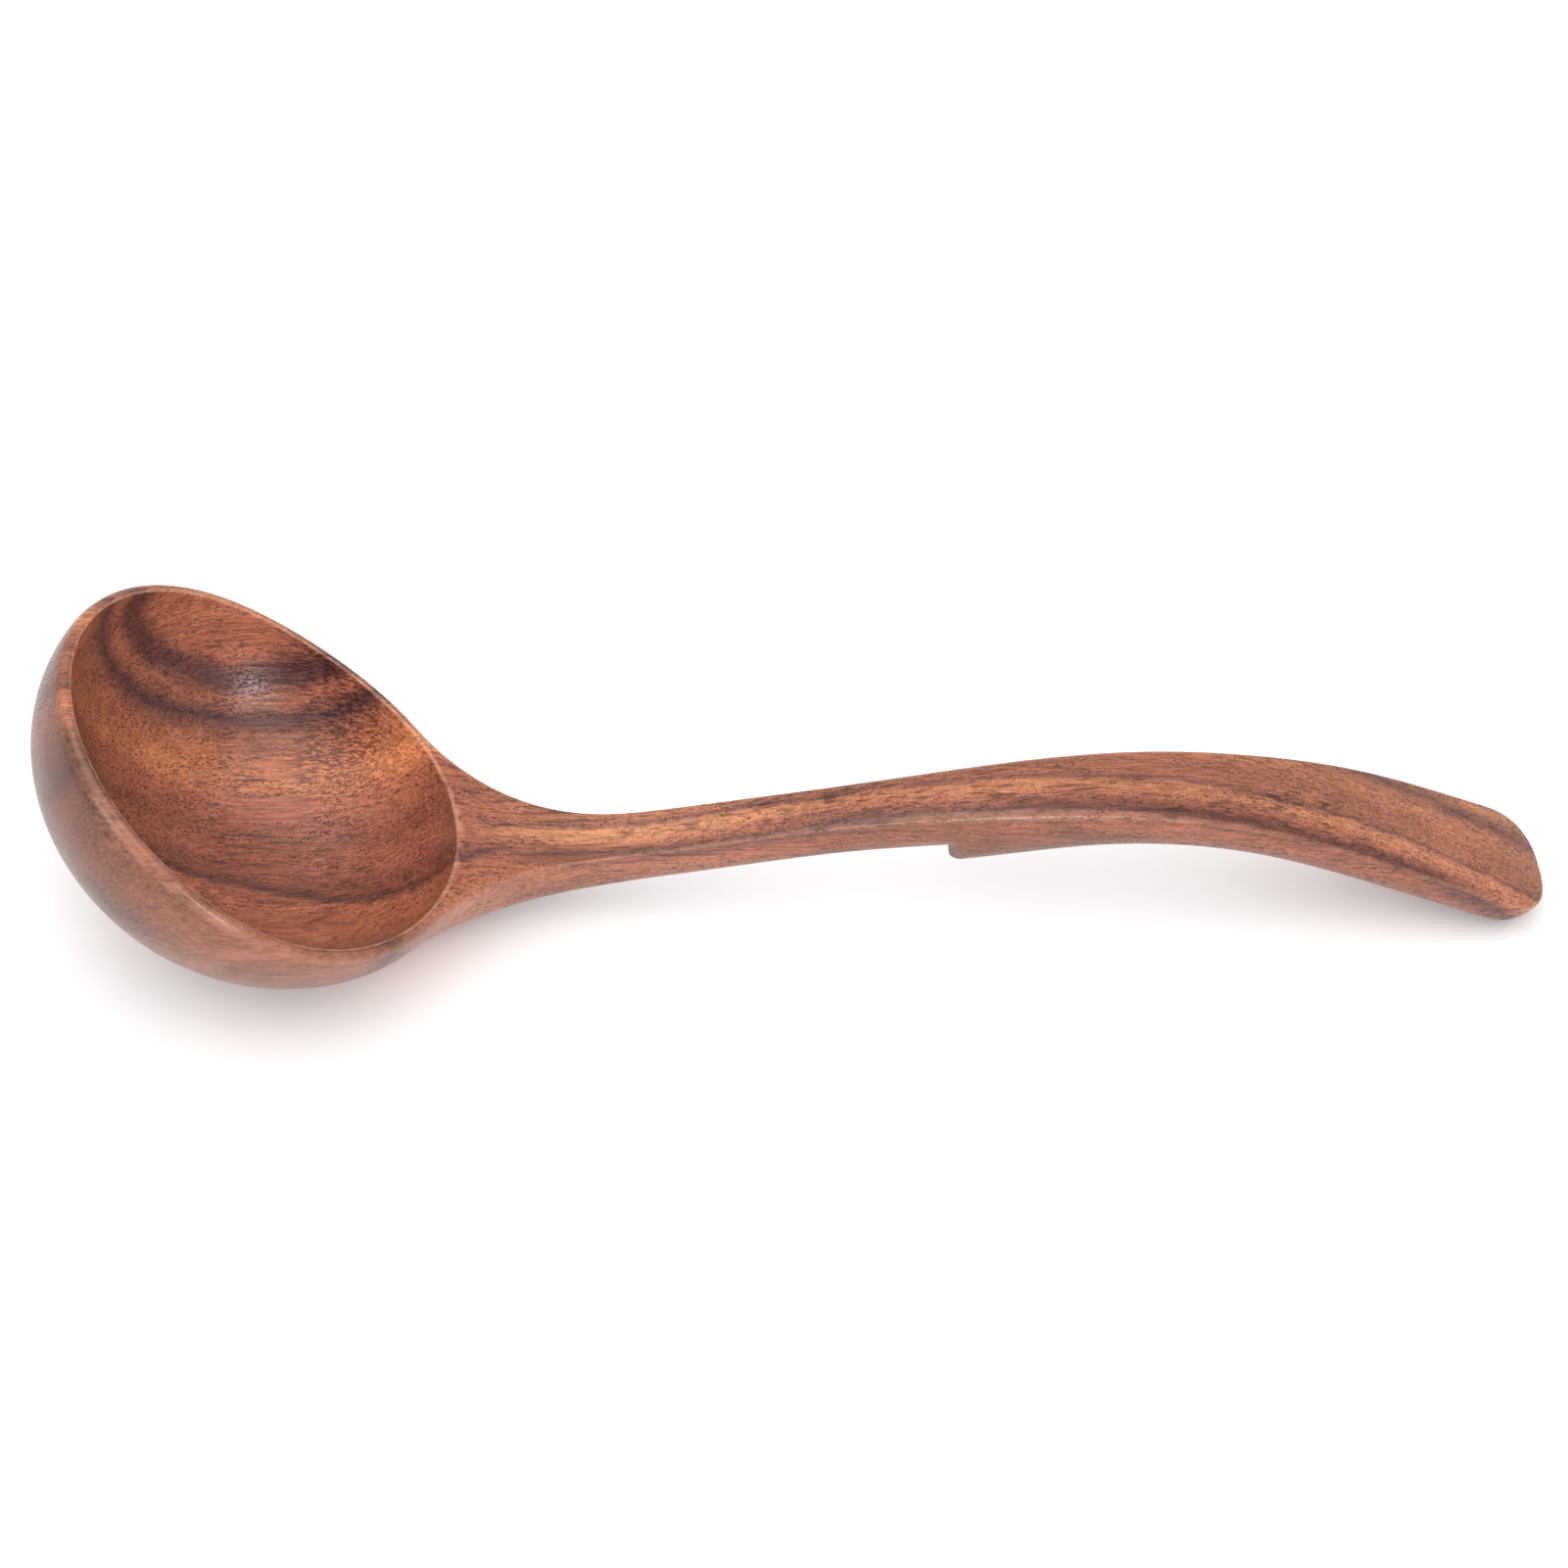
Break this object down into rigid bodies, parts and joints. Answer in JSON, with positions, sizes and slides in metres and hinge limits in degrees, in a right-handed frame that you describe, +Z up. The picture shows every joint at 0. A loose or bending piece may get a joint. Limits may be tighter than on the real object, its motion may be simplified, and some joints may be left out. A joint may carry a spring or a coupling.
{
  "type": "wooden soup ladle",
  "caption": "Carved wooden soup ladle with a deep round bowl, curved handle and a pot-rim hook under the handle.",
  "frame": {"origin": "on the table, below the middle of the ladle's bounding box", "axes": "+Z up with the ladle lying at rest on its bowl and handle end, +X from the bowl toward the handle end, Y across the bowl"},
  "size_m": [0.3062, 0.0848, 0.0672],
  "materials": {
    "acacia_wood": "oiled satin acacia, banded grain"
  },
  "bodies": {
    "root": {"ladle": "acacia_wood"}
  },
  "joints": []
}
